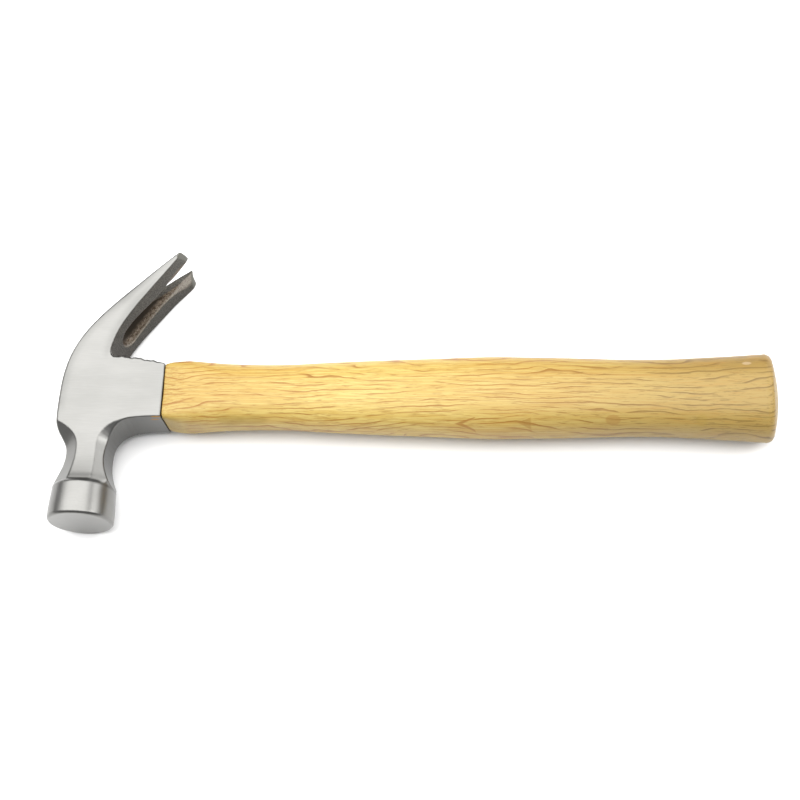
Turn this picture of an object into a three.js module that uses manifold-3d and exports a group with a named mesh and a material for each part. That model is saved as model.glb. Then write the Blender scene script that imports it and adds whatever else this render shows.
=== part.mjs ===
// Claw hammer with a forged steel head and a wooden handle, lying on its side.
// Millimetres. While it is modelled, the origin is the middle of the eye: X runs along the
// handle towards the butt, Y across the head towards the claw tips, Z through the cheeks.
// The finished group is then moved so that its origin is under the middle of its box.
import * as THREE from 'three';
import { mergeVertices } from 'three/addons/utils/BufferGeometryUtils.js';
import Module from 'manifold-3d';

const wasm = await Module();
wasm.setup();

// ---- driving dimensions ---------------------------------------------------

// cheeks, socket and claw
const CHEEK_HALF = 10.5;          // half the width across the flat cheeks
const CLAW_TIP_HALF = 15.7;       // half the width across the claw tips
const FLARE_START = 14;           // Y where the claw begins to spread
const FLARE_REACH = 15;           // Y over which most of the spread happens
const CROWN_X = -16.1;            // crown of the head, where the eye comes out
const SOCKET_X = 33.8;            // face of the socket that the handle's shoulder meets
const SOCKET_TOP = 13.3;          // socket side nearest the claw
const SOCKET_BOTTOM = -13.1;      // socket side nearest the poll
const TIP_BACK = [35.4, 68.6];    // outer corner of the claw tips
const TIP_FRONT = [34.7, 64.9];   // inner corner of the claw tips
const CLAW_ROOT = [6.9, 20.2];    // foot of the claw's inner face

// neck and poll
const NECK_TOP_Y = -14.6;         // where the neck leaves the cheek
const NECK_END_Y = -46;           // just inside the poll
const POLL_AXIS_X = -1.0;
const POLL_RADIUS = 15.3;
const POLL_BACK_RADIUS = 14.7;    // the poll narrows slightly towards the neck
const POLL_FACE_RADIUS = 14.4;    // flat striking face inside its chamfer
const POLL_FACE_Y = -62;
const POLL_LENGTH = 17;
const POLL_CHAMFER = 1.1;

// nail slot and the bevelled groove around it
const SLOT_TIP_HALF = 5.0;        // half the slot's width at the claw tips
const SLOT_END_HALF = 0.8;
const SLOT_LENGTH = 34;           // measured along the claw from its tips
const GROOVE_TIP_HALF = 8.0;      // half the groove's width on the inner face
const GROOVE_END_HALF = 6.0;
const GROOVE_DEPTH = 3.0;

// eye, tenon and wedges
const AXIS_Y = 0.6;               // the handle's axis
const GAP = 0.3;                  // clearance between pieces that touch
const EYE_STATIONS = [            // X, half height in Y, half width in Z of the tenon
  [-20, 11.0, 8.1],
  [-6, 10.4, 7.4],
  [12, 10.1, 7.2],
  [SOCKET_X + GAP, 10.8, 7.8],
];
const TENON_POWER = 3.2;          // superellipse exponent of the tenon
const WOOD_WEDGE_LENGTH = 26;
const WOOD_WEDGE_THICK = 3.6;
const WOOD_WEDGE_TIP = 0.8;
const STEEL_WEDGE_LENGTH = 17;
const STEEL_WEDGE_THICK = 2.6;
const STEEL_WEDGE_TIP = 0.6;
const STEEL_WEDGE_HALF_WIDTH = 5.6;
const STEEL_WEDGE_OFFSET = 5.2;   // each steel wedge stands this far from the axis in Y

// handle
const BUTT_X = 313.3;
const HANDLE_FLATNESS = 0.75;     // half thickness over half width
const HANDLE_POWER = 2.35;        // superellipse exponent of the handle
const HANDLE_WIDTHS = [           // X, half width in Y
  [SOCKET_X + GAP, 14.6],
  [38, 16.4],
  [44, 17.1],
  [60, 15.9],
  [82, 15.3],
  [118, 16.7],
  [150, 17.9],
  [186, 18.85],
  [220, 18.3],
  [252, 17.6],
  [282, 18.5],
  [305, 19.85],
];
const BUTT_EDGE = 3.2;            // radius of the rounded edge at the butt
const BUTT_DOME = 3.0;            // height of the domed end beyond that edge

const EYE_SIDES = 32;
const HANDLE_SIDES = 40;
const CURVE_STEPS = 16;           // straight pieces in each curve of the head's outline
const HEAD_REACH = 40;            // longer than the head is thick, for through cuts

// ---- helpers ----------------------------------------------------------------

// Smooth value through [position, value] pairs in rising order of position.
function track(knots) {
  const slope = knots.map((knot, i) => {
    const before = knots[Math.max(i - 1, 0)];
    const after = knots[Math.min(i + 1, knots.length - 1)];
    return (after[1] - before[1]) / (after[0] - before[0]);
  });
  return (position) => {
    const last = knots.length - 2;
    let i = 0;
    while (i < last && position > knots[i + 1][0]) i += 1;
    const span = knots[i + 1][0] - knots[i][0];
    const t = THREE.MathUtils.clamp((position - knots[i][0]) / span, 0, 1);
    const rise = t * t * (3 - 2 * t);
    const leave = t * (1 - t) * (1 - t) * span * slope[i];
    const arrive = t * t * (1 - t) * span * slope[i + 1];
    return knots[i][1] * (1 - rise) + knots[i + 1][1] * rise + leave - arrive;
  };
}

// Closed body through a row of closed sections with equal point counts.
function loft(sections) {
  const sides = sections[0].length;
  const points = sections.flat();
  const index = [];
  for (let s = 0; s < sections.length - 1; s += 1) {
    for (let i = 0; i < sides; i += 1) {
      const a = s * sides + i;
      const b = s * sides + ((i + 1) % sides);
      index.push(a, b, a + sides, b, b + sides, a + sides);
    }
  }
  for (const [section, first, flip] of [[sections[0], 0, false],
    [sections.at(-1), (sections.length - 1) * sides, true]]) {
    const middle = new THREE.Vector3();
    section.forEach((point) => middle.addScaledVector(point, 1 / sides));
    const centre = points.push(middle) - 1;
    for (let i = 0; i < sides; i += 1) {
      const a = first + i;
      const b = first + ((i + 1) % sides);
      index.push(centre, flip ? a : b, flip ? b : a);
    }
  }
  const geometry = new THREE.BufferGeometry().setFromPoints(points);
  geometry.setIndex(index);
  return geometry;
}

// Superellipse section in a plane of constant X.
function ovalSection(x, halfY, halfZ, power, sides) {
  return Array.from({ length: sides }, (_, i) => {
    const angle = (i / sides) * 2 * Math.PI;
    const c = Math.cos(angle);
    const s = Math.sin(angle);
    const reach = (Math.abs(c) ** power + Math.abs(s) ** power) ** (-1 / power);
    return new THREE.Vector3(x, AXIS_Y + halfY * reach * c, halfZ * reach * s);
  });
}

function solid(geometry) {
  const bare = geometry.clone();
  bare.deleteAttribute('normal');
  bare.deleteAttribute('uv');
  const merged = mergeVertices(bare, 1e-4);
  return new wasm.Manifold(new wasm.Mesh({
    numProp: 3,
    vertProperties: new Float32Array(merged.attributes.position.array),
    triVerts: new Uint32Array(merged.index.array),
  }));
}

function geometryOf(body) {
  const mesh = body.getMesh();
  const geometry = new THREE.BufferGeometry();
  geometry.setAttribute('position', new THREE.BufferAttribute(mesh.vertProperties, 3));
  geometry.setIndex(new THREE.BufferAttribute(mesh.triVerts, 1));
  const flat = geometry.toNonIndexed();
  flat.computeVertexNormals();
  return flat;
}

// Flat shape in X and Y, extruded to both sides of Z = 0.
function slab(shape, halfDepth) {
  const geometry = new THREE.ExtrudeGeometry(shape, {
    depth: 2 * halfDepth, bevelEnabled: false, curveSegments: CURVE_STEPS,
  });
  geometry.translate(0, 0, -halfDepth);
  return geometry;
}

// ---- head ---------------------------------------------------------------------

// Half the width across the cheeks and the claw at a given Y.
const spreadRange = 1 - Math.exp(-(TIP_BACK[1] - FLARE_START) / FLARE_REACH);
function halfWidth(y) {
  if (y <= FLARE_START) return CHEEK_HALF;
  const spread = 1 - Math.exp(-(y - FLARE_START) / FLARE_REACH);
  return CHEEK_HALF + (CLAW_TIP_HALF - CHEEK_HALF) * (spread / spreadRange);
}

// Cheek, socket and claw seen along Z, down to the top of the neck.
function headOutline() {
  const shape = new THREE.Shape();
  shape.moveTo(CROWN_X, NECK_TOP_Y);
  shape.lineTo(CROWN_X, -8);
  shape.bezierCurveTo(CROWN_X, 11, -14.4, 18, -5, 30);
  shape.bezierCurveTo(2.8, 40.4, 25.8, 60.4, ...TIP_BACK);
  shape.lineTo(...TIP_FRONT);
  shape.bezierCurveTo(18.8, 42.5, 9.6, 32.6, ...CLAW_ROOT);
  shape.quadraticCurveTo(6.6, 17.4, 10.5, 17.1);
  shape.bezierCurveTo(18, 16.8, 26, 15.6, SOCKET_X - 0.4, SOCKET_TOP);
  shape.lineTo(SOCKET_X, SOCKET_BOTTOM);
  shape.quadraticCurveTo(22, -13.4, 16.5, NECK_TOP_Y);
  return shape;
}

// The cheeks' and the claw's widths seen along X, as a slab across the whole head.
function widthProfile() {
  const edge = [[NECK_TOP_Y, CHEEK_HALF], [FLARE_START, CHEEK_HALF]];
  const end = TIP_BACK[1] + 2;
  for (let i = 1; i <= CURVE_STEPS; i += 1) {
    const y = FLARE_START + ((end - FLARE_START) * i) / CURVE_STEPS;
    edge.push([y, halfWidth(y)]);
  }
  const points = edge.map(([y, z]) => new THREE.Vector2(y, z));
  const mirrored = edge.map(([y, z]) => new THREE.Vector2(y, -z)).reverse();
  const geometry = slab(new THREE.Shape([...points, ...mirrored]), 2 * HEAD_REACH);
  // the slab's own X, Y and Z become the head's Y, Z and X
  geometry.applyMatrix4(new THREE.Matrix4().makeBasis(
    new THREE.Vector3(0, 1, 0), new THREE.Vector3(0, 0, 1), new THREE.Vector3(1, 0, 0)));
  return geometry;
}

// Eight-sided neck, which grows out of the cheek and spreads again to the poll.
function neck() {
  const left = track([[-46, -14.6], [-38, -12.0], [-31, -10.5], [-25, -12.0], [-20, -14.7], [-14.6, -16.1]]);
  const right = track([[-46, 13.2], [-38, 9.8], [-31, 8.8], [-24, 9.6], [-19, 11.6], [-14.6, 16.5]]);
  const flatLeft = track([[-46, -6.2], [-38, -4.6], [-30, -3.9], [-23, -4.9], [-18, -9.6], [-14.6, -15.7]]);
  const flatRight = track([[-46, 5.2], [-38, 5.1], [-28, 4.7], [-22.5, 4.5], [-18, 8.6], [-14.6, 16.0]]);
  const top = track([[-46, 13.6], [-40, 11.8], [-32, 10.2], [-24, 10.1], [-14.6, CHEEK_HALF]]);
  const side = track([[-46, 5.6], [-32, 4.4], [-24, 4.8], [-18, 7.6], [-14.6, CHEEK_HALF - 0.4]]);
  const sections = [];
  const steps = 14;
  for (let i = 0; i <= steps; i += 1) {
    const y = NECK_END_Y + ((NECK_TOP_Y - NECK_END_Y) * i) / steps;
    const upper = [[left(y), side(y)], [flatLeft(y), top(y)], [flatRight(y), top(y)], [right(y), side(y)]];
    const lower = upper.map(([x, z]) => [x, -z]).reverse();
    sections.push([...upper, ...lower].map(([x, z]) => new THREE.Vector3(x, y, z)));
  }
  return loft(sections);
}

// Round poll with a chamfered striking face, turned about the Y axis.
function poll() {
  const back = POLL_FACE_Y + POLL_LENGTH;
  const profile = [
    [0, POLL_FACE_Y],
    [POLL_FACE_RADIUS, POLL_FACE_Y],
    [POLL_RADIUS, POLL_FACE_Y + POLL_CHAMFER],
    [POLL_RADIUS, POLL_FACE_Y + 4],
    [POLL_BACK_RADIUS, back - POLL_CHAMFER],
    [POLL_BACK_RADIUS - POLL_CHAMFER, back],
    [0, back],
  ];
  const geometry = new THREE.LatheGeometry(profile.map(([r, y]) => new THREE.Vector2(r, y)), 64);
  geometry.translate(POLL_AXIS_X, 0, 0);
  return geometry;
}

// Directions along the claw at its tips, from the tips towards the root, and out of its back.
const clawAlong = new THREE.Vector3(CLAW_ROOT[0] - TIP_FRONT[0], CLAW_ROOT[1] - TIP_FRONT[1], 0).normalize();
const clawOut = new THREE.Vector3(clawAlong.y, -clawAlong.x, 0).normalize();

// Tapered nail slot that cuts right through the claw.
function nailSlot() {
  const shape = new THREE.Shape();
  shape.moveTo(-6, -SLOT_TIP_HALF - 0.7);
  shape.lineTo(SLOT_LENGTH - SLOT_END_HALF, -SLOT_END_HALF);
  shape.absarc(SLOT_LENGTH - SLOT_END_HALF, 0, SLOT_END_HALF, -Math.PI / 2, Math.PI / 2);
  shape.lineTo(-6, SLOT_TIP_HALF + 0.7);
  const geometry = slab(shape, HEAD_REACH);
  geometry.applyMatrix4(new THREE.Matrix4().makeBasis(
    clawAlong, new THREE.Vector3(0, 0, 1), clawOut));
  geometry.translate(TIP_FRONT[0], TIP_FRONT[1], 0);
  return geometry;
}

// Three-sided trough that follows the curve of the claw's inner face and beds the nail's head.
function nailGroove() {
  const face = new THREE.CubicBezierCurve(
    new THREE.Vector2(...TIP_FRONT), new THREE.Vector2(18.8, 42.5),
    new THREE.Vector2(9.6, 32.6), new THREE.Vector2(...CLAW_ROOT));
  const sections = [];
  const steps = 12;
  const end = 0.8;                // part of the face's length that the groove takes
  for (let i = -1; i <= steps; i += 1) {
    const t = (end * i) / steps;
    const at = face.getPoint(Math.max(t, 0));
    const along = face.getTangent(Math.max(t, 0));
    if (i < 0) at.addScaledVector(along, -6);
    const closing = Math.sqrt(Math.max(1 - Math.max(t / end - 0.82, 0) ** 2 / 0.18 ** 2, 0.04));
    const half = THREE.MathUtils.lerp(GROOVE_TIP_HALF, GROOVE_END_HALF, t / end) * closing;
    const depth = GROOVE_DEPTH * THREE.MathUtils.clamp(0.45 + t * 1.4, 0.45, 1) * closing;
    // deep runs into the claw, square to its inner face
    const corner = (deep, z) => (
      new THREE.Vector3(at.x + along.y * deep, at.y - along.x * deep, z));
    const lift = 2 * half / depth;
    sections.push([corner(-2, half + lift), corner(depth, 0), corner(-2, -half - lift)]);
  }
  return loft(sections);
}

// Tapered body of the eye or of the tenon in it; grow is added all round.
function eyeBody(grow) {
  const sections = EYE_STATIONS.map(([x, halfY, halfZ]) => (
    ovalSection(x, halfY + grow, halfZ + grow, TENON_POWER, EYE_SIDES)));
  const [, lastY, lastZ] = EYE_STATIONS.at(-1);
  sections.push(ovalSection(SOCKET_X + 5, lastY + grow, lastZ + grow, TENON_POWER, EYE_SIDES));
  return loft(sections);
}

function head() {
  return solid(slab(headOutline(), HEAD_REACH))
    .intersect(solid(widthProfile()))
    .add(solid(neck()))
    .add(solid(poll()))
    .subtract(solid(eyeBody(GAP)))
    .subtract(solid(nailGroove()))
    .subtract(solid(nailSlot()));
}

// ---- handle and wedges ----------------------------------------------------------

// Wedge driven in from the crown of the head; it tapers in Y or in Z as it goes in.
function wedge(length, thick, tip, halfWidth, taper, offsetY, grow) {
  const start = CROWN_X - 4;
  const end = CROWN_X + length + grow;
  const outer = thick / 2 + grow;
  const inner = tip / 2 + grow;
  const wide = halfWidth + grow;
  const corners = (x, half) => {
    const [halfY, halfZ] = taper === 'y' ? [half, wide] : [wide, half];
    return [[1, 1], [-1, 1], [-1, -1], [1, -1]].map(([sy, sz]) => (
      new THREE.Vector3(x, AXIS_Y + offsetY + sy * halfY, sz * halfZ)));
  };
  return solid(loft([corners(start, outer), corners(CROWN_X, outer), corners(end, inner)]));
}

function woodWedge(grow) {
  return wedge(WOOD_WEDGE_LENGTH, WOOD_WEDGE_THICK, WOOD_WEDGE_TIP, 14, 'z', 0, grow);
}

function steelWedge(side, grow) {
  return wedge(STEEL_WEDGE_LENGTH, STEEL_WEDGE_THICK, STEEL_WEDGE_TIP,
    STEEL_WEDGE_HALF_WIDTH, 'y', side * STEEL_WEDGE_OFFSET, grow);
}

// Oval handle from the shoulder at the socket to the domed butt.
function handleBody() {
  const width = track(HANDLE_WIDTHS);
  const section = (x, half, power) => (
    ovalSection(x, half, half * HANDLE_FLATNESS, power, HANDLE_SIDES));
  const straightEnd = BUTT_X - BUTT_DOME - BUTT_EDGE;
  const sections = [];
  const steps = 30;
  for (let i = 0; i <= steps; i += 1) {
    // stations lie closer together near the head
    const x = SOCKET_X + GAP + (straightEnd - SOCKET_X - GAP) * (i / steps) ** 1.25;
    const power = HANDLE_POWER + 0.9 * Math.exp(-(x - SOCKET_X) / 8);
    sections.push(section(x, width(x), power));
  }
  const full = width(straightEnd);
  for (const turn of [0.25, 0.5, 0.75]) {
    const angle = (turn * Math.PI) / 2;
    const shrink = BUTT_EDGE * (1 - Math.cos(angle));
    sections.push(section(straightEnd + BUTT_EDGE * Math.sin(angle), full - shrink, HANDLE_POWER));
  }
  for (const reach of [0.75, 0.5, 0.25]) {
    const x = straightEnd + BUTT_EDGE + BUTT_DOME * (1 - reach * reach);
    sections.push(section(x, (full - BUTT_EDGE) * reach, HANDLE_POWER));
  }
  sections.push(section(BUTT_X, 0.6, HANDLE_POWER));
  return solid(loft(sections));
}

function handle() {
  const crown = solid(slab(headOutline(), HEAD_REACH));
  const beyondSocket = new THREE.BoxGeometry(10, 60, 60);
  beyondSocket.translate(SOCKET_X + 5 - 0.05, 0, 0);
  return solid(eyeBody(0))
    .intersect(crown.add(solid(beyondSocket)))
    .add(handleBody())
    .subtract(woodWedge(GAP))
    .subtract(steelWedge(1, GAP))
    .subtract(steelWedge(-1, GAP));
}

function woodenWedge() {
  return woodWedge(0)
    .intersect(solid(eyeBody(0)))
    .intersect(solid(slab(headOutline(), HEAD_REACH)))
    .subtract(steelWedge(1, GAP))
    .subtract(steelWedge(-1, GAP));
}

function crossWedge(side) {
  return steelWedge(side, 0).intersect(solid(slab(headOutline(), HEAD_REACH)));
}

// ---- materials and assembly -------------------------------------------------------

const satinSteel = new THREE.MeshStandardMaterial({ color: 0xc9cac6, roughness: 0.38, metalness: 1 });
const paleWood = new THREE.MeshStandardMaterial({ color: 0xe3bf78, roughness: 0.42, metalness: 0 });
const wedgeWood = new THREE.MeshStandardMaterial({ color: 0xa9763f, roughness: 0.7, metalness: 0 });
const plainSteel = new THREE.MeshStandardMaterial({ color: 0x8b8c8c, roughness: 0.5, metalness: 1 });

const hammer = new THREE.Group();
for (const [name, body, material] of [
  ['head', head(), satinSteel],
  ['handle', handle(), paleWood],
  ['wooden_wedge', woodenWedge(), wedgeWood],
  ['steel_wedge_claw_side', crossWedge(1), plainSteel],
  ['steel_wedge_poll_side', crossWedge(-1), plainSteel],
]) {
  const mesh = new THREE.Mesh(geometryOf(body), material);
  mesh.name = name;
  hammer.add(mesh);
}

const box = new THREE.Box3().setFromObject(hammer);
const middle = box.getCenter(new THREE.Vector3());
hammer.position.set(-middle.x, -middle.y, -box.min.z);

export default hammer;
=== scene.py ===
"""Claw hammer on a pale floor: a forged head, a lacquered wooden handle and its wedges.

Shapes are worked out in millimetres round the middle of the head's eye, with X along the handle
to the butt, Y across the head to the claw tips and Z through the cheeks. place() then takes
them into the row frame, in metres.
"""
import math

import bpy
import numpy as np
from mathutils import Matrix, Vector


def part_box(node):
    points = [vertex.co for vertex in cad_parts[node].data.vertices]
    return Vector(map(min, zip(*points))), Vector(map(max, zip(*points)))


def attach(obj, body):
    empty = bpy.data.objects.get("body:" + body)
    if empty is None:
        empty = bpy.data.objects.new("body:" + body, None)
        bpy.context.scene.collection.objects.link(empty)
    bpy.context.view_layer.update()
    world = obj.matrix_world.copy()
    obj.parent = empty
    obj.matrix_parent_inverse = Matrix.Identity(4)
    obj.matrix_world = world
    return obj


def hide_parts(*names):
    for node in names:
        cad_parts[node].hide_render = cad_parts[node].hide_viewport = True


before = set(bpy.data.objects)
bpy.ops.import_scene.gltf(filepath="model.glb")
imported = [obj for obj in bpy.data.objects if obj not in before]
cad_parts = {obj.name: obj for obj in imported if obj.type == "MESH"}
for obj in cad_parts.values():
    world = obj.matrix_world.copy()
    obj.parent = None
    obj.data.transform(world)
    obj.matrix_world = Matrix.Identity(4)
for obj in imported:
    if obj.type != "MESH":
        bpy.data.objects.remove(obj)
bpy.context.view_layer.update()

MM = 0.001

# ---- sizes of the head, in millimetres -------------------------------------------------------
POLL_AXIS_X = -1.0
POLL_RADIUS = 15.3
POLL_FACE_Y = -62.0
POLL_LENGTH = 17.0
CROWN_X = -15.6              # back of the head where it meets the cheeks
CROWN_BULGE = 1.1            # how far the back stands out between the cheeks
SOCKET_X = 33.8
CHEEK_HALF = 10.5
CLAW_TIP_HALF = 15.7
AXIS_Y = 0.6                 # middle of the handle across the head
TIP_BACK = (35.4, 68.6)      # claw tip, outer side
TIP_FRONT = (34.7, 64.9)     # claw tip, inner side
CLAW_ROOT = (6.9, 20.2)      # where the claw's inner face meets the socket
EYE_POWER = 3.2              # squareness of the oval eye
TENON_END = -16.0

# the design's own origin, seen from the row frame
head_low, head_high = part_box("head")
ORIGIN = Vector((
    head_low.x - (POLL_AXIS_X - POLL_RADIUS) * MM,
    head_low.y - POLL_FACE_Y * MM,
    (head_low.z + head_high.z) / 2,
))


def place(x, y, z):
    """A design point in millimetres, taken into the row frame in metres."""
    return ORIGIN + Vector((x, y, z)) * MM


# ---- camera ----------------------------------------------------------------------------------
CAMERA_AZIMUTH = 18.9        # degrees to the right of straight on
CAMERA_ELEVATION = 65.86
CAMERA_ROLL = -0.11
CAMERA_DISTANCE = 826.3
CAMERA_LENS = 81.0
CAMERA_TARGET = (143.1, -0.5, 0.0)


def make_camera():
    """Camera whose picture keeps the handle level."""
    azimuth, elevation = math.radians(CAMERA_AZIMUTH), math.radians(CAMERA_ELEVATION)
    back = Vector((
        math.sin(azimuth) * math.cos(elevation),
        -math.cos(azimuth) * math.cos(elevation),
        math.sin(elevation),
    ))
    down = (-back).cross(Vector((1, 0, 0))).normalized()
    right = down.cross(-back)
    data = bpy.data.cameras.new("camera")
    data.lens = CAMERA_LENS
    data.sensor_width = 36.0
    data.clip_start = 0.05
    data.clip_end = 20.0
    camera = bpy.data.objects.new("camera", data)
    turn = Matrix((right, -down, back)).transposed().to_4x4()
    roll = Matrix.Rotation(math.radians(-CAMERA_ROLL), 4, "Z")
    target = place(*CAMERA_TARGET)
    camera.matrix_world = Matrix.Translation(target + back * CAMERA_DISTANCE * MM) @ turn @ roll
    bpy.context.scene.collection.objects.link(camera)
    bpy.context.scene.camera = camera


make_camera()


# ---- shape tools -----------------------------------------------------------------------------
def bezier(start, c1, c2, end, steps=10):
    """Points along a cubic curve, without its last one."""
    t = np.arange(steps)[:, None] / steps
    a, b, c, d = (np.array(p, float) for p in (start, c1, c2, end))
    return (1 - t) ** 3 * a + 3 * (1 - t) ** 2 * t * b + 3 * (1 - t) * t ** 2 * c + t ** 3 * d


def track(knots):
    """Smooth function through (position, value) pairs in rising order of position."""
    at = np.array([k[0] for k in knots], float)
    value = np.array([k[1] for k in knots], float)
    before = np.maximum(np.arange(len(at)) - 1, 0)
    after = np.minimum(np.arange(len(at)) + 1, len(at) - 1)
    slope = (value[after] - value[before]) / (at[after] - at[before])

    def curve(x):
        x = np.asarray(x, float)
        i = np.clip(np.searchsorted(at, x, side="right") - 1, 0, len(at) - 2)
        span = at[i + 1] - at[i]
        t = np.clip((x - at[i]) / span, 0, 1)
        rise = t * t * (3 - 2 * t)
        leave = t * (1 - t) ** 2 * span * slope[i]
        arrive = t * t * (1 - t) * span * slope[i + 1]
        return value[i] * (1 - rise) + value[i + 1] * rise + leave - arrive

    return curve


def smoothstep(low, high, x):
    """0 at low and 1 at high, whichever of them is larger."""
    t = np.clip((x - low) / (high - low), 0, 1)
    return t * t * (3 - 2 * t)


def smooth_max(a, b, radius):
    """The larger of two distances, rounded where they cross."""
    h = np.clip(0.5 + 0.5 * (a - b) / radius, 0, 1)
    return b * (1 - h) + a * h + radius * h * (1 - h)


def smooth_min(a, b, radius):
    """The smaller of two distances, rounded where they cross."""
    return -smooth_max(-a, -b, radius)


def segment_distance(px, py, a, b):
    """Squared distance from points to one segment, and on which side of it they lie."""
    ex, ey = b[0] - a[0], b[1] - a[1]
    wx, wy = px - a[0], py - a[1]
    t = np.clip((wx * ex + wy * ey) / (ex * ex + ey * ey), 0, 1)
    return (wx - t * ex) ** 2 + (wy - t * ey) ** 2, ex * wy - ey * wx


def outline_distance(px, py, outline):
    """Signed distance to a closed outline, negative inside."""
    px, py = np.broadcast_arrays(px, py)
    best = np.full(px.shape, np.inf)
    inside = np.zeros(px.shape, bool)
    for a, b in zip(outline, np.roll(outline, -1, axis=0)):
        square, side = segment_distance(px, py, a, b)
        best = np.minimum(best, square)
        upward = (a[1] <= py) & (b[1] > py) & (side > 0)
        downward = (a[1] > py) & (b[1] <= py) & (side < 0)
        inside ^= upward | downward
    return np.where(inside, -1, 1) * np.sqrt(best)


def line_distance(px, py, line):
    """Signed distance to an open line, positive on its left."""
    px, py = np.broadcast_arrays(px, py)
    best = np.full(px.shape, np.inf)
    sign = np.ones(px.shape)
    for a, b in zip(line[:-1], line[1:]):
        square, side = segment_distance(px, py, a, b)
        closer = square < best
        best = np.where(closer, square, best)
        sign = np.where(closer, np.sign(side), sign)
    return sign * np.sqrt(best)


CORNERS = np.array([(i, j, k) for i in (0, 1) for j in (0, 1) for k in (0, 1)])
CELL_EDGES = [(a, b) for a in range(8) for b in range(a + 1, 8)
              if np.abs(CORNERS[a] - CORNERS[b]).sum() == 1]


def surface_mesh(field, low, high, step, polish=2):
    """Vertices and quads on the zero level of a distance field, pulled onto it exactly."""
    axes = [np.arange(low[i], high[i] + step, step) for i in range(3)]
    value = field(axes[0][:, None, None], axes[1][None, :, None], axes[2][None, None, :])
    cells = [n - 1 for n in value.shape]
    corner = np.stack([value[i:i + cells[0], j:j + cells[1], k:k + cells[2]]
                       for i, j, k in CORNERS], axis=-1)
    full = (corner < 0).sum(axis=-1)
    mixed = (full > 0) & (full < 8)
    number = np.full(mixed.shape, -1)
    number[mixed] = np.arange(mixed.sum())
    corner = corner[mixed]
    total = np.zeros((len(corner), 3))
    count = np.zeros((len(corner), 1))
    for a, b in CELL_EDGES:
        va, vb = corner[:, a], corner[:, b]
        cross = ((va < 0) != (vb < 0))[:, None]
        t = (va / np.where(cross[:, 0], va - vb, 1))[:, None]
        total += np.where(cross, CORNERS[a] * (1 - t) + CORNERS[b] * t, 0)
        count += cross
    base = np.argwhere(mixed)
    points = np.array(low) + (base + total / count) * step
    quads = []
    for axis in range(3):
        u, v = (axis + 1) % 3, (axis + 2) % 3
        ahead = [slice(None)] * 3
        behind = [slice(None)] * 3
        ahead[axis], behind[axis] = slice(1, None), slice(None, -1)
        first, second = value[tuple(behind)] < 0, value[tuple(ahead)] < 0
        for found, flip in ((first & ~second, False), (~first & second, True)):
            at = np.argwhere(found)
            at = at[(at[:, u] > 0) & (at[:, v] > 0)]
            ring = []
            for du, dv in ((1, 1), (0, 1), (0, 0), (1, 0)):
                cell = at.copy()
                cell[:, u] -= du
                cell[:, v] -= dv
                ring.append(number[cell[:, 0], cell[:, 1], cell[:, 2]])
            ring = np.stack(ring, axis=1)
            quads.append(ring[:, ::-1] if flip else ring)
    for _ in range(polish):
        points = pull_to_surface(field, points, step)
    return points, np.concatenate(quads)


def gradient(field, points, reach=0.02):
    """Value and slope of a distance field at each point."""
    here = field(*points.T)
    slopes = []
    for axis in range(3):
        moved = points.copy()
        moved[:, axis] += reach
        slopes.append((field(*moved.T) - here) / reach)
    return here, np.stack(slopes, axis=1)


def pull_to_surface(field, points, limit):
    """One Newton step towards the zero level, no longer than limit."""
    here, slope = gradient(field, points)
    move = -here[:, None] * slope / np.maximum((slope ** 2).sum(axis=1), 0.05)[:, None]
    length = np.linalg.norm(move, axis=1, keepdims=True)
    return points + move * np.minimum(1, limit / np.maximum(length, 1e-9))


def mesh_piece(name, points, faces, attributes=None):
    """Blender object from design points, placed in the row frame."""
    mesh = bpy.data.meshes.new(name)
    placed = np.asarray(points, float) * MM + np.array(ORIGIN)
    mesh.from_pydata(placed.tolist(), [], [tuple(f) for f in faces])
    mesh.polygons.foreach_set("use_smooth", [True] * len(mesh.polygons))
    for label, values in (attributes or {}).items():
        layer = mesh.attributes.new(label, "FLOAT", "POINT")
        layer.data.foreach_set("value", np.asarray(values, np.float32))
    mesh.update()
    piece = bpy.data.objects.new(name, mesh)
    bpy.context.scene.collection.objects.link(piece)
    return piece


# ---- head ------------------------------------------------------------------------------------
GRID = 0.45                  # spacing of the grid that the head is meshed on
EDGE_ROUND = 0.55            # rounding of the ground edges

# everything seen along Z: poll side of the neck, up the back, over the claw, round the socket
HEAD_OUTLINE = np.concatenate([
    bezier((-14.9, -46.5), (-13.9, -42.8), (-12.3, -39.5), (-11.2, -36.2), 8),
    bezier((-11.2, -36.2), (-10.2, -32.8), (-10.2, -29.2), (-11.2, -26.0), 8),
    bezier((-11.2, -26.0), (-12.3, -22.4), (-15.0, -19.6), (-15.4, -14.6), 8),
    bezier((-15.4, -14.6), (-15.6, -12), (CROWN_X, -10), (CROWN_X, -8), 4),
    bezier((CROWN_X, -8), (CROWN_X, 11), (-14.2, 18), (-5, 30)),
    bezier((-5, 30), (2.8, 40.4), (25.8, 60.4), TIP_BACK),
    [TIP_BACK, (39.2, 71.85), (37.6, 69.0)],
    bezier(TIP_FRONT, (18.8, 42.5), (9.6, 32.6), CLAW_ROOT, 16),
    bezier(CLAW_ROOT, (6.5, 18.4), (7.6, 17.2), (10.5, 17.1), 6),
    bezier((10.5, 17.1), (18, 16.8), (26, 15.6), (SOCKET_X - 0.45, 13.5)),
    bezier((SOCKET_X - 0.45, 13.5), (SOCKET_X - 0.3, 4), (SOCKET_X, -4), (SOCKET_X, -13.1), 6),
    bezier((SOCKET_X, -13.1), (29, -13.1), (25, -13.3), (22, -13.6), 6),
    bezier((22, -13.6), (10.5, -14.2), (8.8, -24.5), (8.8, -31.5)),
    bezier((8.8, -31.5), (8.8, -37), (11, -41.5), (13.4, -46)),
    [(13.4, -46.4)],
])

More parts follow.
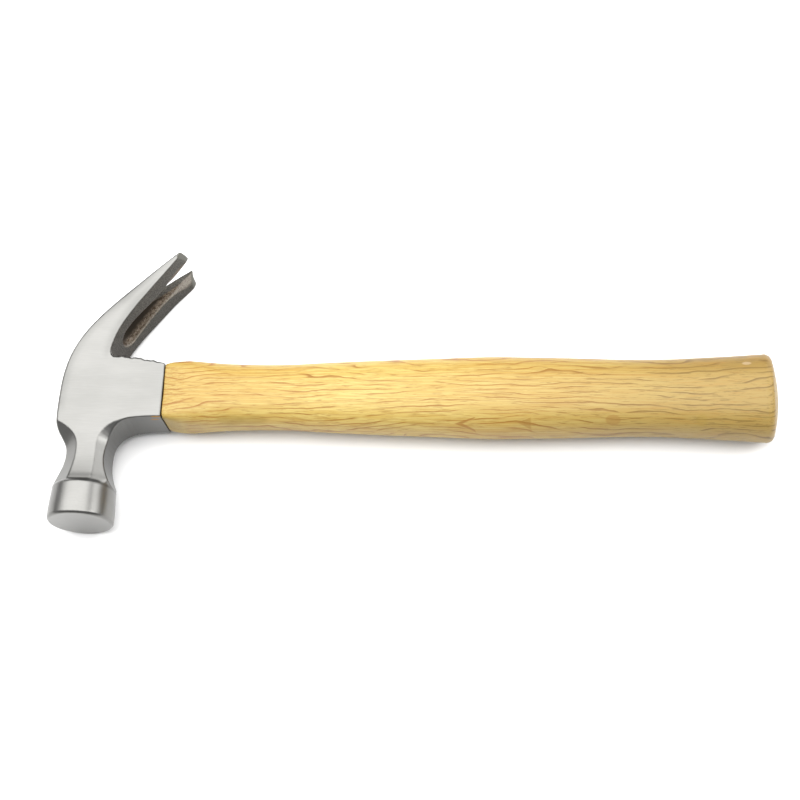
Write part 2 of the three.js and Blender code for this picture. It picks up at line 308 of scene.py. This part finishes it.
# what the neck's flats leave of the cheek's plane; it runs well outside the head elsewhere
FLAT_OUTLINE = np.concatenate([
    bezier((-6.2, -46), (-5.2, -41), (-3.9, -36), (-3.9, -30)),
    bezier((-3.9, -30), (-3.9, -23.5), (-5.2, -19.5), (-16.8, -14.2)),
    [(-16.8, -14.2), (-30, -12), (-30, 90), (60, 90), (60, -22), (26, -16)],
    bezier((19, -13.6), (4.4, -16.2), (4.3, -24), (4.9, -30)),
    bezier((4.9, -30), (5, -36), (5.2, -41), (5.2, -46)),
    [(5.2, -60), (-6.2, -60)],
])

INNER_FACE = np.concatenate([
    [(54.7, 92.0)],
    bezier(TIP_FRONT, (18.8, 42.5), (9.6, 32.6), CLAW_ROOT, 16),
    [CLAW_ROOT, (3, 2)],
])

along_claw = np.array(CLAW_ROOT) - np.array(TIP_FRONT)
along_claw /= np.linalg.norm(along_claw)

neck_half = track([
    (-50, 13.2), (-45, 12.7), (-41, 11.8), (-36, 10.95), (-30, 10.3), (-24, 10.1),
    (-15, CHEEK_HALF),
])


def half_width(y):
    """Half the width across the neck, the cheeks and the claw."""
    rise = np.logaddexp(0, (y - 18) / 3.5) * 3.5
    spread = (1 - np.exp(-rise / 15)) / (1 - math.exp(-(TIP_BACK[1] - 18) / 15))
    return np.where(y < -15, neck_half(y), CHEEK_HALF) + (CLAW_TIP_HALF - CHEEK_HALF) * spread


def poll_distance(x, y, z):
    """Round poll: chamfered striking face, and a slight taper back to the neck."""
    r = np.sqrt((x - POLL_AXIS_X) ** 2 + z ** 2)
    back = POLL_FACE_Y + POLL_LENGTH
    side = r - (POLL_RADIUS - 0.6 * smoothstep(POLL_FACE_Y + 4, back, y))
    face = POLL_FACE_Y - y
    rim = (r - 14.4) * 0.77 + face * 0.64
    shoulder = (r - 13.6) * 0.71 + (y - back) * 0.71
    body = smooth_max(smooth_max(side, face, 0.3), rim, 0.35)
    return smooth_max(smooth_max(body, y - back, 0.3), shoulder, 0.5)


eye_half_y = track([(-20, 11.1), (-6, 10.5), (12, 10.2), (36, 10.9)])
eye_half_z = track([(-20, 8.2), (-6, 7.5), (12, 7.3), (36, 7.9)])


def eye_distance(x, y, z):
    """Tapered oval eye through the head."""
    half_y, half_z = eye_half_y(x), eye_half_z(x)
    ring = np.abs((y - AXIS_Y) / half_y) ** EYE_POWER + np.abs(z / half_z) ** EYE_POWER
    return (ring ** (1 / EYE_POWER) - 1) * half_z


# the claw's cut, with positions measured from the inner tip towards the root
PRONG_LEAN = 1.1             # how far the lower prong leans out at its outer edge
SLOT_Z = 0.5                 # the slot runs a little above the middle
SLOT_END = 33.0
GROOVE_DEPTH = 5.0
GROOVE_END = 45.0
groove_upper = track([
    (-6, 5.2), (7, 5.7), (13, 4.7), (21, 4.5), (27, 5.2), (33, 5.8), (44, 5.8),
])
groove_lower = track([
    (-6, 9.2), (1, 8.6), (8, 7.1), (15.5, 5.9), (23.5, 6.3), (31, 7.2), (38, 7.8), (44, 7.8),
])


def along_the_claw(x, y):
    """Distance from the inner tip towards the root."""
    return (x - TIP_FRONT[0]) * along_claw[0] + (y - TIP_FRONT[1]) * along_claw[1]


def lean_share(y, z):
    """How much of the lower prong's lean a point takes."""
    return smoothstep(-3, -15, z) * smoothstep(54, 66, y)


def inner_depth(x, y, z):
    """Depth below the claw's inner face."""
    return PRONG_LEAN * lean_share(y, z) - line_distance(x, y, INNER_FACE)


def slot_half(u):
    """Half the slot's width, which tapers towards the root."""
    return 4.7 - 0.15 * u


def claw_cut_distance(x, y, z):
    """Bevelled groove in the claw's inner face, with the tapered slot through its floor."""
    u = along_the_claw(x, y)
    deep = inner_depth(x, y, z)
    from_slot = np.abs(z - SLOT_Z)
    closing = np.sqrt(np.clip(1 - np.clip((u - 38.5) / 6.8, 0, 1) ** 2, 0.0, 1))
    half = np.where(z > SLOT_Z, groove_upper(u), groove_lower(u)) * np.maximum(closing, 0.05)
    depth = GROOVE_DEPTH * (0.14 + 0.86 * smoothstep(2, 20, u)) * closing
    wall = 1 - (from_slot / half) ** 1.3
    # the groove ends before the root, and well clear of the socket
    beyond = np.maximum(u - GROOVE_END, 22 - y)
    groove = smooth_max((deep - depth * wall) * 0.8, beyond, 0.5)
    slot = smooth_max(from_slot - slot_half(u), u - SLOT_END, 1.0)
    return smooth_min(groove, slot, 0.25)


def tip_distance(x, y, z):
    """Ends of the prongs, which run further out beside the slot than at the cheeks."""
    upper = 2.1 - 1.5 * np.clip((z - 5) / 10.7, 0, 1) ** 1.6
    lower = 1.6 - 0.9 * smoothstep(3, 15, -z)
    further = np.where(z > 0, upper, lower)
    end = (x - TIP_FRONT[0]) * 0.983 - (y - TIP_FRONT[1]) * 0.186 - further
    return end - 0.9 * PRONG_LEAN * lean_share(y, z) - 60 * smoothstep(52, 35, y)


def head_distance(x, y, z):
    """Signed distance to the whole forging, negative in the steel."""
    outline = outline_distance(x, y, HEAD_OUTLINE)
    leaning = outline_distance(x - 0.81 * PRONG_LEAN, y + 0.58 * PRONG_LEAN, HEAD_OUTLINE)
    outline = outline + (leaning - outline) * lean_share(y, z)
    half = half_width(y)
    # the forged edge behind the socket is uneven and well rounded
    rough = smoothstep(8, 11, y) * smoothstep(5, 9, x)
    rough = rough * smoothstep(24, 20, y) * smoothstep(32.5, 28, x)
    waver = np.sin(0.83 * x + 0.4) + 0.6 * np.sin(2.05 * x + 0.21 * z + 1.9)
    outline = outline + rough * 0.2 * waver * smoothstep(6.5, 9.5, np.abs(z))
    # the back stands out a little between the cheeks, less and less towards the claw tips
    back_side = smoothstep(0, 4, -line_distance(x, y, INNER_FACE)) * smoothstep(-26.0, -15.0, y)
    bulge = CROWN_BULGE * (1 - 0.8 * smoothstep(15, 60, y)) * back_side
    bulge = bulge * smoothstep(20, 4, x - y * 0.6)
    outline = outline - bulge * (1 - np.clip(np.abs(z) / half, 0, 1) ** 2)
    cheeks = np.abs(z) - half
    # the cheeks roll off softly along the outer bend
    outer_edge = back_side * smoothstep(6, -3, x - 0.6 * y) * smoothstep(68, 50, y)
    cheeks = cheeks + 0.6 * outer_edge * np.clip(1 + outline / 6.5, 0, 1) ** 2
    body = smooth_max(outline, cheeks, EDGE_ROUND + 0.9 * rough + 0.6 * outer_edge)
    # sloping flats on the neck, steeper on the handle's side
    right = smoothstep(-1.5, 2.5, x)
    lean, drop = 0.67 - 0.10 * right, 0.74 + 0.08 * right
    facets = outline_distance(x, y, FLAT_OUTLINE) * lean + cheeks * drop
    body = smooth_max(body, facets, 0.4)
    # the neck is turned round where it meets the poll
    neck_round = np.sqrt((x - POLL_AXIS_X) ** 2 + z ** 2) - 14.3
    neck_round = neck_round - 0.25 * np.maximum(y + 46.5, 0) ** 1.2
    body = smooth_max(body, neck_round - 40 * smoothstep(-30, -20, y), 0.6)
    body = smooth_min(body, poll_distance(x, y, z), 0.9)
    body = smooth_max(body, -eye_distance(x, y, z), 0.5)
    body = smooth_max(body, tip_distance(x, y, z), 0.6)
    return smooth_max(body, -claw_cut_distance(x, y, z), 0.4)


def make_head():
    """Head mesh, with the zones that its material tells apart."""
    points, faces = surface_mesh(head_distance, (-18.2, -63.3, -17.1), (40.4, 73.6, 17.1), GRID)
    x, y, z = points.T
    on_inner = smoothstep(0.4, 0.15, np.abs(inner_depth(x, y, z))) * (y > 19)
    on_inner *= smoothstep(0.1, 0.5, half_width(y) - np.abs(z))
    on_tip = smoothstep(0.6, 0.2, np.abs(tip_distance(x, y, z))) * (y > 55)
    in_cut = smoothstep(0.35, 0.1, np.abs(claw_cut_distance(x, y, z))) * (y > 19)
    u = along_the_claw(x, y)
    depth = inner_depth(x, y, z)
    in_slot = smoothstep(0.6, 0.2, np.abs(np.abs(z - SLOT_Z) - slot_half(u)))
    in_slot *= (u < SLOT_END) * (depth > 0.4)
    # the striking face: polished, and lightened further as a painted reflection of the floor in
    # front of it
    polished_face_and_reflection = smoothstep(0.3, 0.1, np.abs(y - POLL_FACE_Y))
    # painted shade: darker steel on the walls beside the handle, standing for the shadowed floor
    # they reflect, and a little darker along the outer bend
    outline = np.abs(outline_distance(x, y, HEAD_OUTLINE))
    painted_wall_shade = smoothstep(0.7, 0.2, outline) * smoothstep(4, 8, x) * smoothstep(5, 0, y)
    bend = smoothstep(-2, -8, x - 0.6 * y) * smoothstep(-12, -6, y) * smoothstep(60, 40, y)
    painted_wall_shade = np.maximum(painted_wall_shade, 0.45 * smoothstep(5, 0.5, outline) * bend)
    forged = np.maximum(np.maximum(on_inner, on_tip > 0), in_cut)
    bevel = in_cut * (1 - in_slot)
    # painted shade: the deepest part of the groove darkened
    deep = bevel * smoothstep(1.5, 3.0, depth)
    # painted highlight along the groove's lower edge
    rim = bevel * smoothstep(0.75, 0.2, depth) * (z < 0)
    zones = {"forged": forged, "groove": bevel, "deep": deep, "rim": rim, "tip": on_tip,
             "face": polished_face_and_reflection, "painted_wall_shade": painted_wall_shade}
    return mesh_piece("forged_head", points, faces, zones)


# ---- handle ----------------------------------------------------------------------------------
SHOULDER_X = 34.0
BUTT_X = 313.3
BUTT_HALF = 20.3             # half the butt's width
BUTT_EDGE = 4.0              # radius of its edge
BUTT_DOME = 2.0
HANDLE_FLATNESS = 0.75       # thickness over width
RING_POINTS = 144

handle_width = track([
    (34.1, 15.7), (36, 16.2), (38, 16.6), (44, 17.1), (49, 16.8), (55, 16.3), (62, 15.8),
    (72, 15.45), (83, 15.3), (94, 15.5), (106, 16.15), (118, 16.7), (139, 17.5), (161, 18.2),
    (175, 18.7), (187, 18.95), (200, 18.75), (222, 18.3), (243, 17.7), (256, 17.6), (266, 17.8),
    (276, 18.25), (286, 18.75), (297, 19.35), (306, 19.95), (314, BUTT_HALF),
])


def oval(half_y, half_z, power):
    """Ring of (y, z) round the handle's middle; a higher power is squarer."""
    angle = np.arange(RING_POINTS) / RING_POINTS * 2 * np.pi
    c, s = np.cos(angle), np.sin(angle)
    reach = (np.abs(c / half_y) ** power + np.abs(s / half_z) ** power) ** (-1 / power)
    return AXIS_Y + reach * c, reach * s


def handle_section(x):
    """Section at one place along the handle: squarish by the head, oval further on."""
    flat = HANDLE_FLATNESS - 0.02 * math.exp(-((x - SHOULDER_X) / 9) ** 2)
    past = max(x - SHOULDER_X, 0)
    power = 2.35 + 4.0 * math.exp(-(past / 12) ** 1.1) + 6.0 * math.exp(-past / 3)
    # a squarer section of the same width stands out further at its corners
    dual = power / (power - 1)
    half_y = handle_width(x) * 0.99 / (0.92 ** dual + (0.39 * flat) ** dual) ** (1 / dual)
    return oval(half_y, half_y * flat, power)


def tenon_section(x, gap):
    """Section inside the eye, with a gap all round."""
    return oval(eye_half_y(x) - gap, eye_half_z(x) - gap, EYE_POWER)


def make_handle():
    """Tenon through the eye, shoulder against the socket, swelling grip and domed butt."""
    rings = []

    def add(x, yz, scale=1.0):
        y, z = yz
        y, z = AXIS_Y + (y - AXIS_Y) * scale, z * scale
        rings.append(np.stack([np.full(RING_POINTS, x), y, z], axis=1))

    for step, scale in ((0, 0.12), (0, 0.5), (0, 0.93), (0.1, 0.975), (0.5, 1.0)):
        x = TENON_END + step
        add(x, tenon_section(x, 0.12), scale)
    for x in np.arange(-12, 33, 5.0):
        add(x, tenon_section(x, 0.12))
    add(SHOULDER_X, tenon_section(SHOULDER_X, 0.25))
    for x, scale in ((34.1, 0.93), (34.12, 0.985), (34.3, 0.995), (34.6, 1.0)):
        add(x, handle_section(x), scale)
    for start, stop, step in ((36, 62, 1.0), (62, 304, 2.5), (304, 307.5, 1.0)):
        for x in np.arange(start, stop, step):
            add(x, handle_section(x))
    # rounded edge, then the dome
    edge = BUTT_X - BUTT_DOME - BUTT_EDGE * 0.25
    for turn in np.linspace(0.06, 1, 9):
        a = turn * math.radians(72)
        inset = BUTT_EDGE * (1 - math.cos(a))
        x = edge - BUTT_EDGE * 0.75 + BUTT_EDGE * math.sin(a)
        add(x, handle_section(edge), 1 - inset / BUTT_HALF)
    last_x, last_scale = x, 1 - inset / BUTT_HALF
    for scale in np.linspace(last_scale, 0.04, 12)[1:]:
        rise = (1 - (scale / last_scale) ** 2) * (BUTT_X - last_x)
        add(last_x + rise, handle_section(edge), scale)
    points = np.concatenate(rings)
    # the shoulder follows the socket's end, and the butt is cut a little out of square
    shoulder = (points[:, 0] > 33.9) * smoothstep(42, 35, points[:, 0])
    points[:, 0] -= 0.5 * shoulder * smoothstep(-4, 13.3, points[:, 1])
    points[:, 0] -= 0.03 * (points[:, 1] - AXIS_Y) * smoothstep(290, 310, points[:, 0])
    faces = []
    for first in range(0, len(points) - RING_POINTS, RING_POINTS):
        second = first + RING_POINTS
        for j in range(RING_POINTS):
            k = (j + 1) % RING_POINTS
            faces.append((second + j, second + k, first + k, first + j))
    faces.append(tuple(range(RING_POINTS)))
    faces.append(tuple(range(len(points) - RING_POINTS, len(points)))[::-1])
    return mesh_piece("ash_handle", points, faces)


# ---- wedges ----------------------------------------------------------------------------------
def make_wedge(name, across, length, thick, thin, half, centre_y, proud):
    """Tapered wedge driven into the end of the tenon, with softened edges.

    It is thick to thin along its length, and twice half wide: along Y where it lies across
    the head, otherwise along Z. It stands proud of the tenon's end.
    """
    front = TENON_END - proud
    points = []
    for x, depth in ((front, thick / 2), (front + length, thin / 2)):
        reach_y, reach_z = (half, depth) if across else (depth, half)
        for sy, sz in ((-1, -1), (1, -1), (1, 1), (-1, 1)):
            points.append((x, centre_y + sy * reach_y, sz * reach_z))
    faces = [(0, 1, 2, 3), (7, 6, 5, 4), (0, 4, 5, 1), (1, 5, 6, 2), (2, 6, 7, 3), (3, 7, 4, 0)]
    wedge = mesh_piece(name, points, faces)
    bevel = wedge.modifiers.new("soft edges", "BEVEL")
    bevel.width = 0.18 * MM
    bevel.segments = 2
    return wedge


# ---- materials -------------------------------------------------------------------------------
class Nodes:
    """Short way to write a node material."""

    def __init__(self, name):
        self.material = bpy.data.materials.new(name)
        self.material.use_nodes = True
        self.tree = self.material.node_tree
        self.shader = self.tree.nodes["Principled BSDF"]

    def set(self, **values):
        """Constant values on the shader's own sockets."""
        for key, value in values.items():
            self.shader.inputs[key.replace("_", " ")].default_value = value

    def add(self, kind, **settings):
        node = self.tree.nodes.new(kind)
        for key, value in settings.items():
            setattr(node, key, value)
        return node

    def feed(self, socket, value):
        """Link a socket, or set a constant."""
        if isinstance(value, bpy.types.NodeSocket):
            self.tree.links.new(value, socket)
        elif value is not None:
            socket.default_value = value

    def math(self, operation, a, b=None, clamp=False):
        node = self.add("ShaderNodeMath", operation=operation, use_clamp=clamp)
        for socket, value in zip(node.inputs, (a, b)):
            self.feed(socket, value)
        return node.outputs[0]

    def position(self):
        """Place on the piece, in design millimetres."""
        coords = self.add("ShaderNodeTexCoord").outputs["Object"]
        node = self.add("ShaderNodeVectorMath", operation="SUBTRACT")
        self.feed(node.inputs[0], coords)
        self.feed(node.inputs[1], ORIGIN)
        scaled = self.add("ShaderNodeVectorMath", operation="SCALE")
        self.feed(scaled.inputs[0], node.outputs[0])
        scaled.inputs["Scale"].default_value = 1 / MM
        return scaled.outputs[0]

    def stretch(self, vector, scale, offset=(0, 0, 0)):
        node = self.add("ShaderNodeVectorMath", operation="MULTIPLY_ADD")
        self.feed(node.inputs[0], vector)
        self.feed(node.inputs[1], scale)
        self.feed(node.inputs[2], offset)
        return node.outputs[0]

    def noise(self, vector, scale=1.0, detail=2.0, roughness=0.5):
        node = self.add("ShaderNodeTexNoise")
        self.feed(node.inputs["Vector"], vector)
        node.inputs["Scale"].default_value = scale
        node.inputs["Detail"].default_value = detail
        node.inputs["Roughness"].default_value = roughness
        return node.outputs["Fac"]

    def split(self, vector):
        node = self.add("ShaderNodeSeparateXYZ")
        self.feed(node.inputs[0], vector)
        return node.outputs

    def ramp(self, value, low, high, to_low=0.0, to_high=1.0):
        """Smooth step from one value to another between two places."""
        node = self.add("ShaderNodeMapRange", interpolation_type="SMOOTHSTEP")
        for socket, item in zip(node.inputs, (value, low, high, to_low, to_high)):
            self.feed(socket, item)
        return node.outputs[0]

    def mix(self, amount, a, b):
        node = self.add("ShaderNodeMix", data_type="RGBA")
        self.feed(node.inputs[0], amount)
        self.feed(node.inputs[6], (*a, 1) if isinstance(a, tuple) else a)
        self.feed(node.inputs[7], (*b, 1) if isinstance(b, tuple) else b)
        return node.outputs[2]

    def bump(self, height, strength, distance):
        node = self.add("ShaderNodeBump")
        node.inputs["Strength"].default_value = strength
        node.inputs["Distance"].default_value = distance * MM
        self.feed(node.inputs["Height"], height)
        self.tree.links.new(node.outputs[0], self.shader.inputs["Normal"])

    def attribute(self, name):
        return self.add("ShaderNodeAttribute", attribute_name=name).outputs["Fac"]


def resin_marks(m, place_mm):
    """Two amber dashes of handle lacquer on the socket's lower wall, by the joint."""
    x, y, z = m.split(place_mm)
    marks = 0.0
    for cx, cz, rx, rz in ((31.6, 9.6, 2.4, 0.7), (30.6, 6.3, 2.0, 0.6)):
        dx = m.math("DIVIDE", m.math("SUBTRACT", x, cx), rx)
        dz = m.math("DIVIDE", m.math("SUBTRACT", z, cz), rz)
        square = m.math("ADD", m.math("MULTIPLY", dx, dx), m.math("MULTIPLY", dz, dz))
        marks = m.math("ADD", m.ramp(square, 1.3, 0.6), marks)
    return m.math("MULTIPLY", marks, m.ramp(y, -11.0, -12.0))


def steel_material():
    """Ground and satin-polished outside, darker forged skin in the claw."""
    m = Nodes("satin_steel")
    place_mm = m.position()
    forged = m.attribute("forged")
    cloud = m.noise(m.stretch(place_mm, (0.05, 0.12, 0.12)), 1.0, 3.0)
    brush = m.noise(m.stretch(place_mm, (0.12, 3.2, 3.2)), 1.0, 2.0, 0.6)
    grit = m.noise(place_mm, 1.6, 3.0, 0.65)
    tone = m.math("ADD", m.math("MULTIPLY", cloud, 0.5), m.math("MULTIPLY", brush, 0.5))
    ground = m.mix(m.ramp(tone, 0.3, 0.7), (0.162, 0.161, 0.153), (0.186, 0.184, 0.176))
    skin = m.mix(m.ramp(grit, 0.35, 0.65), (0.045, 0.042, 0.037), (0.105, 0.099, 0.088))
    blotch = m.noise(m.stretch(place_mm, (0.55, 0.55, 0.9)), 1.0, 3.0, 0.7)
    groove = m.mix(m.ramp(grit, 0.3, 0.7), (0.10, 0.078, 0.058), (0.21, 0.18, 0.15))
    groove = m.mix(m.ramp(blotch, 0.42, 0.66), groove, (0.05, 0.036, 0.024))
    # painted shade in the deepest part of the groove
    groove = m.mix(m.attribute("deep"), groove, (0.030, 0.025, 0.020))
    # painted highlight along the groove's lower edge
    rim = m.math("MULTIPLY", m.attribute("rim"), m.ramp(grit, 0.35, 0.55, 0.35, 1.0))
    groove = m.mix(rim, groove, (0.27, 0.25, 0.22))
    skin = m.mix(m.attribute("groove"), skin, groove)
    skin = m.mix(m.attribute("tip"), skin, (0.13, 0.128, 0.112))
    # lighter striking face: polished steel, partly a painted reflection
    ground = m.mix(m.attribute("face"), ground, (0.21, 0.208, 0.20))
    # painted shade on the walls beside the handle, and a little darker along the outer bend
    ground = m.mix(m.math("MULTIPLY", m.attribute("painted_wall_shade"), 0.5), ground, (0.06, 0.06, 0.057))
    ground = m.mix(resin_marks(m, place_mm), ground, (0.26, 0.13, 0.02))
    m.feed(m.shader.inputs["Base Color"], m.mix(forged, ground, skin))
    rough = m.math("ADD", 0.27, m.math("MULTIPLY", brush, 0.1))
    rough = m.math("ADD", rough, m.math("MULTIPLY", forged, 0.25))
    m.feed(m.shader.inputs["Roughness"], rough)
    m.set(Metallic=1.0)
    pitted = m.math("MULTIPLY", m.math("MULTIPLY", grit, forged), 3.0)
    m.bump(m.math("ADD", m.math("MULTIPLY", brush, 0.4), pitted), 0.25, 0.12)
    return m.material


def add_marks(m, x, y, z, colour):
    """Darker marks along the handle's lower flank, and one painted highlight, a pale glint, by the
    butt.
    """
    above = m.ramp(z, -6.0, -2.0)

    def spot(cx, cy, rx, ry, soft=0.3):
        dx = m.math("DIVIDE", m.math("SUBTRACT", x, cx), rx)
        dy = m.math("DIVIDE", m.math("SUBTRACT", y, cy), ry)
        square = m.math("ADD", m.math("MULTIPLY", dx, dx), m.math("MULTIPLY", dy, dy))
        return m.math("MULTIPLY", m.ramp(square, 1.0 + soft, 1.0 - soft), above)

    def fan(tip, cy, length, spread):
        """Triangle opening towards the butt."""
        dx = m.math("SUBTRACT", x, tip)
        dy = m.math("ABSOLUTE", m.math("SUBTRACT", y, cy))
        inside = m.ramp(m.math("SUBTRACT", m.math("MULTIPLY", dx, spread), dy), -0.15, 0.25)
        inside = m.math("MULTIPLY", inside, m.ramp(dx, length + 0.5, length - 0.5))
        return m.math("MULTIPLY", inside, above)

    outer, inner = fan(169.4, -15.5, 9.6, 0.25), fan(173.2, -15.5, 12.0, 0.34)
    vee = m.math("SUBTRACT", outer, inner, clamp=True)
    wedge = fan(197.8, -15.2, 6.2, 0.33)
    disc = spot(240.5, -13.7, 3.3, 1.8)
    colour = m.mix(m.math("MULTIPLY", vee, 0.7), colour, (0.22, 0.09, 0.015))
    colour = m.mix(m.math("MULTIPLY", wedge, 0.55), colour, (0.22, 0.11, 0.02))
    colour = m.mix(m.math("MULTIPLY", disc, 0.5), colour, (0.22, 0.11, 0.024))
    patches = (
        ((66, -13.2), (6.5, 1.5), 0.45),
        ((76, -13.0), (7.0, 1.4), 0.4),
        ((279.5, -13.8), (2.4, 2.2), 0.35),
        ((37.5, -15.2), (5.0, 2.0), 0.4),
    )
    for centre, size, amount in patches:
        patch = spot(*centre, *size, 0.5)
        colour = m.mix(m.math("MULTIPLY", patch, amount), colour, (0.25, 0.165, 0.03))
    # painted highlight: a pale glint near the butt
    painted_glint = spot(299.2, 12.2, 1.9, 0.9, 0.7)
    return m.mix(m.math("MULTIPLY", painted_glint, 0.4), colour, (0.45, 0.36, 0.25))


def wood_material(name, marks=False):
    """Pale lacquered hardwood, with wavy rings, broken pore lines and a few darker marks."""
    m = Nodes(name)
    p = m.position()
    x, y, z = m.split(p)
    # growth rings, swaying along the handle, with one sharp dark edge each
    sway = m.noise(m.stretch(p, (0.010, 0.03, 0.03), (3.1, 0, 0)), 1.0, 2.0)
    ripple = m.noise(m.stretch(p, (0.05, 0.10, 0.10)), 1.0, 2.0)
    ring = m.math("ADD", m.math("MULTIPLY", y, 0.82), m.math("MULTIPLY", z, 0.5))
    ring = m.math("ADD", ring, m.math("MULTIPLY", sway, 22.0))
    ring = m.math("ADD", ring, m.math("MULTIPLY", ripple, 3.5))
    phase = m.math("FRACT", m.math("DIVIDE", ring, 2.2))
    line = m.math("MULTIPLY", m.ramp(phase, 0.66, 0.92), m.ramp(phase, 1.0, 0.95))
    broken = m.ramp(m.noise(m.stretch(p, (0.035, 0.30, 0.30), (0, 5, 0)), 1.0, 3.0), 0.40, 0.56)
    line = m.math("MULTIPLY", line, broken)
    # short pore lines and fine fibres
    pores = m.noise(m.stretch(p, (0.14, 2.2, 2.2)), 1.0, 2.0, 0.6)
    dashes = m.ramp(pores, 0.55, 0.66)
    fibre = m.noise(m.stretch(p, (0.02, 1.3, 1.3)), 1.0, 3.0, 0.65)
    broad = m.noise(m.stretch(p, (0.012, 0.07, 0.07), (0, 0, 8)), 1.0, 2.0)
    colour = m.mix(m.ramp(broad, 0.35, 0.65), (0.405, 0.285, 0.073), (0.385, 0.24, 0.052))
    colour = m.mix(m.ramp(fibre, 0.42, 0.60, 0.0, 0.75), colour, (0.455, 0.355, 0.115))
    # darker by the head, towards the butt and along the butt's far side
    colour = m.mix(m.ramp(x, 120, 310, 0.0, 0.85), colour, (0.24, 0.16, 0.042))
    colour = m.mix(m.ramp(x, 35, 115, 0.4, 0.0), colour, (0.29, 0.195, 0.05))
    far_side = m.math("MULTIPLY", m.ramp(x, 230, 300, 0.0, 0.6), m.ramp(y, 4, 14))
    colour = m.mix(far_side, colour, (0.165, 0.095, 0.022))
    streak = m.noise(m.stretch(p, (0.03, 1.5, 1.5), (0, 9, 4)), 1.0, 2.0, 0.6)
    colour = m.mix(m.ramp(streak, 0.52, 0.66, 0.0, 0.4), colour, (0.28, 0.145, 0.026))
    # the lines are amber by the head and browner towards the butt
    browner = m.ramp(x, 170, 290)
    line_colour = m.mix(browner, (0.22, 0.085, 0.008), (0.115, 0.062, 0.012))
    colour = m.mix(m.math("MULTIPLY", line, 0.85), colour, line_colour)
    dash_colour = m.mix(browner, (0.185, 0.080, 0.011), (0.105, 0.058, 0.012))
    colour = m.mix(m.math("MULTIPLY", dashes, 0.5), colour, dash_colour)
    if marks:
        colour = add_marks(m, x, y, z, colour)
    m.feed(m.shader.inputs["Base Color"], colour)
    m.set(Roughness=0.45, Specular_IOR_Level=0.3, Coat_Weight=0.1, Coat_Roughness=0.3)
    sunken = m.math("ADD", m.math("MULTIPLY", line, 0.5), dashes)
    m.bump(m.math("SUBTRACT", 1.0, sunken), 0.2, 0.15)
    return m.material


def wedge_steel_material():
    """Dark, gritty steel, as it comes from the press."""
    m = Nodes("blackened_wedge_steel")
    grit = m.noise(m.position(), 1.3, 3.0, 0.6)
    colour = m.mix(m.ramp(grit, 0.3, 0.7), (0.10, 0.10, 0.10), (0.24, 0.24, 0.23))
    m.feed(m.shader.inputs["Base Color"], colour)
    m.feed(m.shader.inputs["Roughness"], m.math("ADD", 0.35, m.math("MULTIPLY", grit, 0.2)))
    m.set(Metallic=1.0)
    m.bump(grit, 0.3, 0.1)
    return m.material


# ---- pieces ----------------------------------------------------------------------------------
def take(piece, node, material):
    """Give a piece its material, attach it to the root body and hide the CAD node it stands for.
    """
    piece.data.materials.append(material)
    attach(piece, "root")
    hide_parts(node)


wedge_steel = wedge_steel_material()
take(make_head(), "head", steel_material())
take(make_handle(), "handle", wood_material("lacquered_wood", marks=True))
take(make_wedge("wood_wedge", True, 26, 3.6, 0.8, 10.2, AXIS_Y, 0.15),
     "wooden_wedge", wood_material("wedge_wood"))
take(make_wedge("steel_wedge_a", False, 17, 2.6, 0.6, 5.6, AXIS_Y + 5.2, 0.35),
     "steel_wedge_claw_side", wedge_steel)
take(make_wedge("steel_wedge_b", False, 17, 2.6, 0.6, 5.6, AXIS_Y - 5.2, 0.35),
     "steel_wedge_poll_side", wedge_steel)


# ---- floor and light -------------------------------------------------------------------------
FLOOR_HALF = 3.0             # metres, like the places and sizes of the lights
FLOOR_ALBEDO = 0.83
WORLD_STRENGTH = 0.32


def make_floor():
    """Pale, matt floor at the object's lowest point."""
    mesh = bpy.data.meshes.new("floor")
    corners = [(-1, -1), (1, -1), (1, 1), (-1, 1)]
    mesh.from_pydata([(x * FLOOR_HALF, y * FLOOR_HALF, 0) for x, y in corners], [], [(0, 1, 2, 3)])
    floor = bpy.data.objects.new("floor", mesh)
    bpy.context.scene.collection.objects.link(floor)
    m = Nodes("floor")
    m.set(Base_Color=(FLOOR_ALBEDO, FLOOR_ALBEDO, FLOOR_ALBEDO, 1), Roughness=0.9,
          Specular_IOR_Level=0.0)
    mesh.materials.append(m.material)


def softbox(name, location, aim, size, radiance):
    """Rectangular soft light with an even face of the given radiance."""
    data = bpy.data.lights.new(name, "AREA")
    data.shape = "RECTANGLE"
    data.size, data.size_y = size
    data.energy = radiance * math.pi * size[0] * size[1]
    light = bpy.data.objects.new(name, data)
    light.location = location
    light.rotation_euler = (Vector(aim) - Vector(location)).to_track_quat("-Z", "Y").to_euler()
    light.visible_camera = False
    bpy.context.scene.collection.objects.link(light)


def make_world():
    """Even white surroundings."""
    world = bpy.data.worlds.new("studio")
    world.use_nodes = True
    background = world.node_tree.nodes["Background"]
    background.inputs["Color"].default_value = (1, 1, 1, 1)
    background.inputs["Strength"].default_value = WORLD_STRENGTH
    bpy.context.scene.world = world


make_floor()
make_world()
softbox("ceiling", (-0.35, 0.20, 0.95), (-0.35, 0.20, 0), (1.75, 1.36), 4.3)
softbox("left", (-1.40, 0.35, 0.84), (0, 0, 0.1), (0.9, 0.45), 2.4)
softbox("right", (0.88, 0.42, 0.56), (-0.15, -0.05, 0.0), (1.10, 0.52), 3.6)
softbox("right_high", (0.75, 0.02, 0.78), (-0.15, -0.05, 0.0), (0.42, 0.36), 6.0)
bpy.context.scene.view_settings.view_transform = "Standard"
